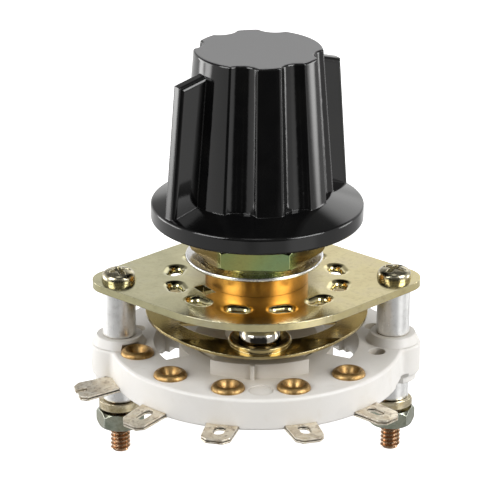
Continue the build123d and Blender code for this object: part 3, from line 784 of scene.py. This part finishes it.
@dataclass
class ScrewPost:
    """One through screw with its tube, sleeve, lock washer and nut, in millimetres and degrees."""

    side: Side
    cross_turn: float
    columns: int = 120
    thread: Thread = Thread(pitch=0.64, depth=0.38, flat=0.12)
    rows_per_pitch: int = 14
    head_rows: int = 64
    head_h: float = 1.45
    head_squareness: float = 3.3
    cross_length: float = 3.2
    cross_width: float = 0.7
    cross_depth: float = 1.0
    cross_wall: float = 0.16
    cross_rise: float = 0.6
    pole_turn: float = 0.03
    thread_gap: float = 0.01
    shank_r: float = 1.3
    crest_r: float = 1.45
    end_chamfer: float = 0.3

    def build(self) -> None:
        """Builds the threaded screw and dresses the pieces round it."""
        name = self.side.value
        place(self.screw(), Body.FRAME, "screw_steel", SCREW_PLATED, f"{name}_screw")
        dress(TUBE_ALUMINIUM, f"{name}_upper_spacer", f"{name}_lower_sleeve")
        dress(LOCK_OLIVE, f"{name}_lock_washer")
        dress(NUT_GREY, f"{name}_stand_nut")

    def recess(self, x: np.ndarray, y: np.ndarray) -> np.ndarray:
        """How deep the cross recess is at points of the head.

        Each arm is a bar that is full inside its width and length and eases to nothing over its wall, and
        it gets shallower from the middle outward. The recess is the deeper of the two arms.

        Args:
            x: places across the head.
            y: places along the head.

        Returns:
            The depth below the dome.
        """
        turn = math.radians(self.cross_turn)
        along = x * math.cos(turn) + y * math.sin(turn)
        across = y * math.cos(turn) - x * math.sin(turn)
        half_width, half_length = self.cross_width / 2, self.cross_length / 2
        reach = np.hypot(x, y) / half_length
        arms = [
            ease(np.abs(b), half_width + self.cross_wall, half_width)
            * ease(np.abs(a), half_length + self.cross_wall, half_length)
            for a, b in ((along, across), (across, along))
        ]
        return self.cross_depth * np.maximum(*arms) * (1.0 - self.cross_rise * np.clip(reach, 0.0, 1.0))

    def screw(self) -> bpy.types.Mesh:
        """Turns the screw's profile about its axis, sinks the recess and cuts the thread at the free end.

        The head's dome is a squared-off quarter ellipse: radius and height go as powers of the sine and
        cosine of one angle. The shank runs down plain to the nut, and from there the radius is the crest
        less the cut.

        Returns:
            The mesh.
        """
        name = self.side.value
        low, high = (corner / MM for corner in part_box(f"{name}_screw"))
        nut_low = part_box(f"{name}_stand_nut")[0] / MM
        centre_x = (low.x + high.x) / 2
        head_r = (high.x - low.x) / 2
        seat = high.z - self.head_h
        power = 2.0 / self.head_squareness
        turn = np.linspace(self.pole_turn, math.pi / 2, self.head_rows)
        dome_r = head_r * np.sin(turn) ** power
        dome_z = seat + self.head_h * np.cos(turn).clip(0.0) ** power
        steps = int((nut_low.z - low.z) / self.thread.pitch * self.rows_per_pitch)
        thread_z = np.linspace(nut_low.z - self.thread_gap, low.z + self.end_chamfer, steps)
        profile = np.vstack(
            [
                np.stack([dome_r, dome_z], axis=1),
                [(self.shank_r, seat), (self.shank_r, nut_low.z)],
                np.stack([np.full(steps, self.crest_r), thread_z], axis=1),
                [(self.crest_r - self.end_chamfer, low.z)],
            ]
        )
        radius, height = profile[:, :1], profile[:, 1:]
        angle = np.linspace(0.0, math.tau, self.columns, endpoint=False)[None, :]
        is_thread = radius == self.crest_r
        radius = radius - np.where(is_thread, self.thread.cut(height, angle), 0.0)
        x, y = radius * np.cos(angle), radius * np.sin(angle)
        on_head = np.arange(len(profile))[:, None] < self.head_rows
        z = height - np.where(on_head, self.recess(x, y), 0.0)
        points = np.stack([x + centre_x, y, z], axis=-1)
        return lay_mesh(f"{name}_screw_threaded", points * MM)


@dataclass
class ContactWafer:
    """The ceramic wafer with its riveted contacts."""

    contacts: int = 5

    def build(self) -> None:
        """Dresses the wafer, the leaves and the eyelets."""
        dress(WAFER_WHITE, "ceramic_wafer")
        for number in range(1, self.contacts + 1):
            dress(LUG_SILVER, f"contact_{number}_upper_leaf", f"contact_{number}_lower_leaf")
            dress(EYELET_BRASS, f"contact_{number}_eyelet")


@dataclass
class TurningStack:
    """The shaft with what it turns below the plate: stop plate, detent spring, balls, rotor and blade."""

    def build(self) -> None:
        """Dresses the turning pieces."""
        dress(INNER_STEEL, "shaft", "retaining_ring", "stop_plate", "spring_collar", "tail_clip")
        dress(SPRING_BRASS, "detent_spring")
        dress(BALL_STEEL, "front_ball", "back_ball")
        dress(ROTOR_CREAM, "rotor_disc")
        dress(LUG_SILVER, "contact_blade")


@dataclass
class Knob:
    """The fluted skirted knob with its brass insert and grub screw."""

    def build(self) -> None:
        """Dresses the knob's pieces."""
        dress(KNOB_BLACK, "knob")
        dress(BUSHING_BRASS, "knob_insert")
        dress(INNER_STEEL, "grub_screw")


@dataclass(frozen=True)
class Card:
    """A round light or dark card far away, in degrees about the switch, and the brightness it shows."""

    azimuth: float
    elevation: float
    inner: float
    outer: float
    level: float


@dataclass
class Studio:
    """Camera, floor and soft light about the switch, in metres and degrees, the lens in millimetres."""

    target: Vector = field(default_factory=lambda: Vector((-1.005, 0.0, 1.036)) * MM)
    azimuth: float = -2.197
    elevation: float = 21.613
    roll: float = 0.395
    distance: float = 0.4540
    lens: float = 225.84
    sensor: float = 36.0
    clip: Span = (0.01, 20.0)
    floor_z: float = -0.0304
    floor_reach: float = 3.0
    floor_glow: float = 0.8
    floor_tint: Colour = (0.92, 0.92, 0.92)
    floor_roughness: float = 0.8
    box_azimuth: float = 57.0
    box_elevation: float = 31.0
    box_distance: float = 0.60
    box_side: float = 0.34
    left_watts: float = 2.4
    right_watts: float = 2.8
    light_tint: Colour = (1.0, 0.995, 0.985)
    behind: float = 1.05
    ahead: float = 0.70
    cards: tuple[Card, ...] = (
        Card(0.0, 90.0, 48.0, 74.0, 0.14),
        Card(0.0, -90.0, 45.0, 76.0, 0.42),
        Card(0.0, 85.0, 5.0, 11.0, 2.0),
        Card(110.0, -10.0, 20.0, 45.0, 0.6),
        Card(48.0, -24.0, 8.0, 20.0, 1.1),
        Card(104.0, -4.0, 8.0, 14.0, 6.0),
        Card(-100.0, -4.0, 8.0, 14.0, 6.0),
        Card(-119.0, -4.0, 8.0, 14.0, 7.0),
        Card(155.0, 24.0, 6.0, 18.0, 1.7),
        Card(-158.0, 24.0, 6.0, 18.0, 0.4),
        Card(-36.0, 3.0, 17.0, 25.0, 0.04),
        Card(-8.0, 2.0, 18.0, 26.0, 0.04),
        Card(18.0, 3.0, 17.0, 25.0, 0.04),
    )

    @staticmethod
    def direction(azimuth: float, elevation: float) -> Vector:
        """The unit vector towards an azimuth and elevation in degrees, azimuth 0 being the front."""
        a, e = math.radians(azimuth), math.radians(elevation)
        return Vector((math.sin(a) * math.cos(e), -math.cos(a) * math.cos(e), math.sin(e)))

    def camera(self) -> None:
        """Sets the camera on its sight line, rolled a little about it."""
        back = self.direction(self.azimuth, self.elevation)
        side = Vector((0, 0, 1)).cross(back).normalized()
        up = back.cross(side)
        turn = math.radians(self.roll)
        right = side * math.cos(turn) + up * math.sin(turn)
        top = up * math.cos(turn) - side * math.sin(turn)
        data = bpy.data.cameras.new("camera")
        data.lens = self.lens
        data.sensor_width = self.sensor
        data.clip_start, data.clip_end = self.clip
        camera = bpy.data.objects.new("camera", data)
        camera.matrix_world = Matrix(
            (
                (right.x, top.x, back.x, 0),
                (right.y, top.y, back.y, 0),
                (right.z, top.z, back.z, 0),
                (0, 0, 0, 1),
            )
        )
        camera.location = self.target + back * self.distance
        bpy.context.scene.collection.objects.link(camera)
        bpy.context.scene.camera = camera

    def softbox(self, name: str, azimuth: float, watts: float) -> None:
        """Hangs a square area light that faces the switch.

        Args:
            name: the light's name.
            azimuth: degrees round from the front.
            watts: its power.
        """
        data = bpy.data.lights.new(name, "AREA")
        data.energy = watts
        data.size = self.box_side
        light = bpy.data.objects.new(name, data)
        back = self.direction(azimuth, self.box_elevation)
        light.location = back * self.box_distance
        light.rotation_euler = back.to_track_quat("Z", "Y").to_euler()
        bpy.context.scene.collection.objects.link(light)

    def world(self) -> None:
        """Fills the surroundings with soft light that grows from front to back, with the cards over it."""
        world = bpy.data.worlds.new("studio")
        world.use_nodes = True
        tree = world.node_tree
        coordinates = tree.nodes.new("ShaderNodeTexCoord").outputs["Generated"]
        split = tree.nodes.new("ShaderNodeSeparateXYZ")
        tree.links.new(coordinates, split.inputs["Vector"])
        levels = (self.ahead, self.behind)
        glow = map_range(tree, split.outputs["Y"], levels, over=(-1.0, 1.0), run="SMOOTHSTEP")
        for card in self.cards:
            towards = tree.nodes.new("ShaderNodeVectorMath")
            towards.operation = "DOT_PRODUCT"
            towards.inputs[1].default_value = self.direction(card.azimuth, card.elevation)
            tree.links.new(coordinates, towards.inputs[0])
            edge = (math.cos(math.radians(card.outer)), math.cos(math.radians(card.inner)))
            share = map_range(tree, towards.outputs["Value"], (0.0, 1.0), over=edge, run="SMOOTHSTEP")
            glow = mix_values(tree, share, glow, card.level)
        tree.links.new(glow, tree.nodes["Background"].inputs["Strength"])
        tree.nodes["Background"].inputs["Color"].default_value = (*self.light_tint, 1.0)
        bpy.context.scene.world = world

    def floor(self) -> None:
        """Lays a large pale floor under the screw ends, lit from within a little."""
        reach, z = self.floor_reach, self.floor_z
        mesh = bpy.data.meshes.new("floor")
        corners = [(-reach, -reach, z), (reach, -reach, z), (reach, reach, z), (-reach, reach, z)]
        mesh.from_pydata(corners, [], [(0, 1, 2, 3)])
        floor = bpy.data.objects.new("floor", mesh)
        desk = NodeDesk("floor_white")
        desk.set(Base_Color=(*self.floor_tint, 1.0), Roughness=self.floor_roughness)
        desk.set(Emission_Color=(1.0, 1.0, 1.0, 1.0), Emission_Strength=self.floor_glow)
        mesh.materials.append(desk.material)
        floor.visible_glossy = False
        floor.visible_diffuse = False
        floor.visible_shadow = False
        bpy.context.scene.collection.objects.link(floor)

    def build(self) -> None:
        """Sets up the whole studio."""
        self.camera()
        self.world()
        self.floor()
        self.softbox("left_softbox", -self.box_azimuth, self.left_watts)
        self.softbox("right_softbox", self.box_azimuth, self.right_watts)
        bpy.context.scene.view_settings.view_transform = "Standard"


def main() -> None:
    """Builds and dresses the sub-assemblies in order, then sets up the studio."""
    logging.basicConfig(level=logging.INFO, format="%(name)s: %(message)s")
    sub_assemblies = [
        PanelMount(),
        ScrewPost(Side.LEFT, cross_turn=20.0),
        ScrewPost(Side.RIGHT, cross_turn=55.0),
        ContactWafer(),
        TurningStack(),
        Knob(),
    ]
    for sub_assembly in sub_assemblies:
        sub_assembly.build()
    Studio().build()


if __name__ == "__main__":
    main()
